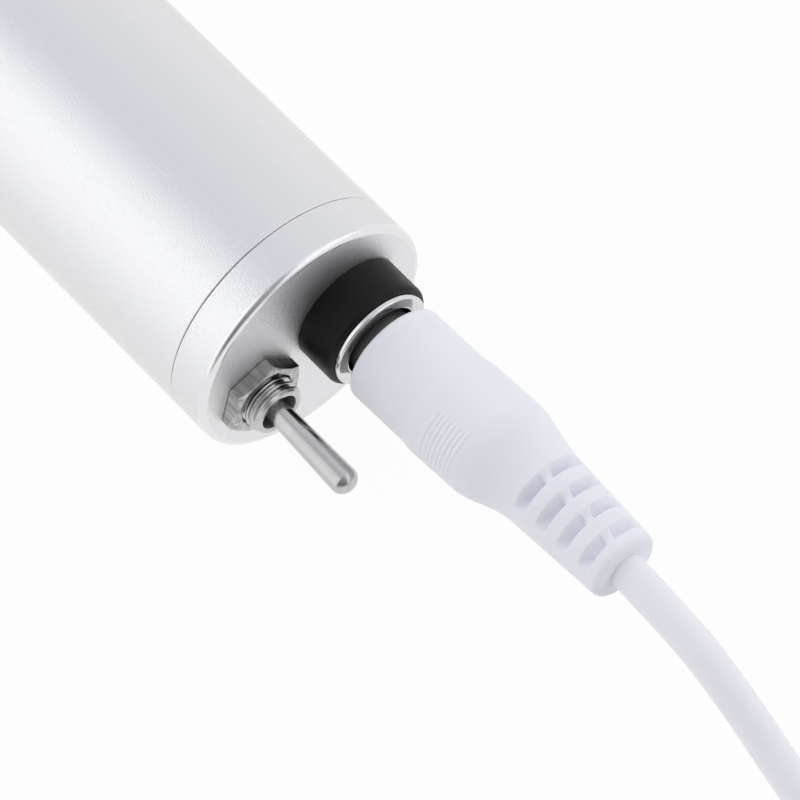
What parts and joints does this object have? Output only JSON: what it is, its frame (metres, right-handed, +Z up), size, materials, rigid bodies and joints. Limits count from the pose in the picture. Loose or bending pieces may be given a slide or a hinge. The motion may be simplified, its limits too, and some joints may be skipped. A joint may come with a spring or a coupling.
{
  "type": "mini rotary drill",
  "caption": "Mini rotary drill: aluminium tube with a DC motor, keyed three-jaw chuck, toggle switch and power socket in its rear cap, and a white power lead.",
  "frame": {"origin": "on the surface that the drill lies on, midway between the jaws' tips and the toggle lever's end, below the spindle's axis", "axes": "+X along the spindle from the chuck to the rear cap, +Y towards the power socket's side, +Z up"},
  "size_m": [0.2747, 0.0365, 0.0279],
  "materials": {
    "satin_aluminium": "bead-blasted and anodised, satin",
    "bright_steel": "bright turned steel",
    "dark_steel": "hardened steel",
    "nickel": "nickel-plated, slightly warm",
    "chrome": "bright plated",
    "brass": "turned brass",
    "copper": "copper",
    "magnet": "sintered ferrite",
    "black_plastic": "matte black moulding",
    "grey_plastic": "dark grey moulding",
    "blue_plastic": "glossy phenolic",
    "white_nylon": "nylon",
    "white_vinyl": "soft satin vinyl",
    "red_wire": "vinyl insulation",
    "black_wire": "vinyl insulation"
  },
  "bodies": {
    "housing": {"housing_tube": "satin_aluminium", "rear_cap": "satin_aluminium", "front_cap": "satin_aluminium", "motor_screw_1": "bright_steel", "motor_screw_2": "bright_steel", "motor_can": "bright_steel", "front_bush": "brass", "motor_end_bell": "black_plastic", "rear_bush": "brass", "motor_terminal_1": "brass", "motor_terminal_2": "brass", "motor_brush_1": "copper", "motor_brush_2": "copper", "magnet_1": "magnet", "magnet_2": "magnet", "switch_bushing": "nickel", "switch_frame": "nickel", "switch_nut": "nickel", "switch_washer": "nickel", "switch_case": "blue_plastic", "switch_terminal_1": "brass", "switch_terminal_2": "brass", "jack_body": "black_plastic", "jack_nut": "nickel", "jack_ring": "chrome", "jack_core": "grey_plastic", "jack_contact": "brass", "jack_pin": "brass", "wire_motor_red": "red_wire", "wire_motor_black": "black_wire", "wire_jack_red": "red_wire"},
    "spindle": {"motor_shaft": "bright_steel", "armature_core": "dark_steel", "motor_winding_1": "copper", "motor_winding_2": "copper", "motor_winding_3": "copper", "commutator": "copper", "chuck_arbor": "brass", "set_screw_1": "dark_steel", "set_screw_2": "dark_steel", "chuck_body": "bright_steel"},
    "sleeve": {"chuck_sleeve": "bright_steel", "chuck_nut": "dark_steel"},
    "first_jaw": {"jaw_1": "dark_steel"},
    "second_jaw": {"jaw_2": "dark_steel"},
    "third_jaw": {"jaw_3": "dark_steel"},
    "lever": {"toggle_lever": "nickel"},
    "rocker": {"switch_rocker": "copper"},
    "power_lead": {"plug_moulding": "white_vinyl", "plug_barrel": "chrome", "plug_inner_contact": "brass", "cord": "white_vinyl", "cord_coil": "white_vinyl", "cord_tie": "black_plastic", "usb_housing": "white_vinyl", "usb_shell": "bright_steel", "usb_tongue": "white_nylon"}
  },
  "joints": [
    {"name": "spindle_spin", "type": "hinge", "parent": "housing", "child": "spindle", "pos_m": [0.04539, 0, 0.01397], "axis": [1, 0, 0], "continuous": true},
    {"name": "sleeve_turn", "type": "hinge", "parent": "spindle", "child": "sleeve", "pos_m": [0.04539, 0, 0.01397], "axis": [-1, 0, 0], "range_deg": [0, 2160]},
    {"name": "jaw_1_slide", "type": "slide", "parent": "spindle", "child": "first_jaw", "axis": [0.9703, 0, 0.2419], "range_m": [0, 0.00765]},
    {"name": "jaw_2_slide", "type": "slide", "parent": "spindle", "child": "second_jaw", "axis": [0.9703, -0.2095, -0.121], "range_m": [0, 0.00765]},
    {"name": "jaw_3_slide", "type": "slide", "parent": "spindle", "child": "third_jaw", "axis": [0.9703, 0.2095, -0.121], "range_m": [0, 0.00765]},
    {"name": "lever_tilt", "type": "hinge", "parent": "housing", "child": "lever", "pos_m": [0.05069, -0.0074, 0.01397], "axis": [0, -1, 0], "range_deg": [0, 24]},
    {"name": "rocker_tilt", "type": "hinge", "parent": "housing", "child": "rocker", "pos_m": [0.03784, -0.0074, 0.01397], "axis": [0, 1, 0], "range_deg": [0, 14]},
    {"name": "plug_pull", "type": "slide", "parent": "housing", "child": "power_lead", "axis": [1, 0, 0], "range_m": [0, 0.012]}
  ],
  "couplings": [
    {"joint": "jaw_1_slide", "follows": "sleeve_turn", "m_per_rad": 0.00020213},
    {"joint": "jaw_2_slide", "follows": "sleeve_turn", "m_per_rad": 0.00020213},
    {"joint": "jaw_3_slide", "follows": "sleeve_turn", "m_per_rad": 0.00020213},
    {"joint": "rocker_tilt", "follows": "lever_tilt", "ratio": 0.58333}
  ]
}
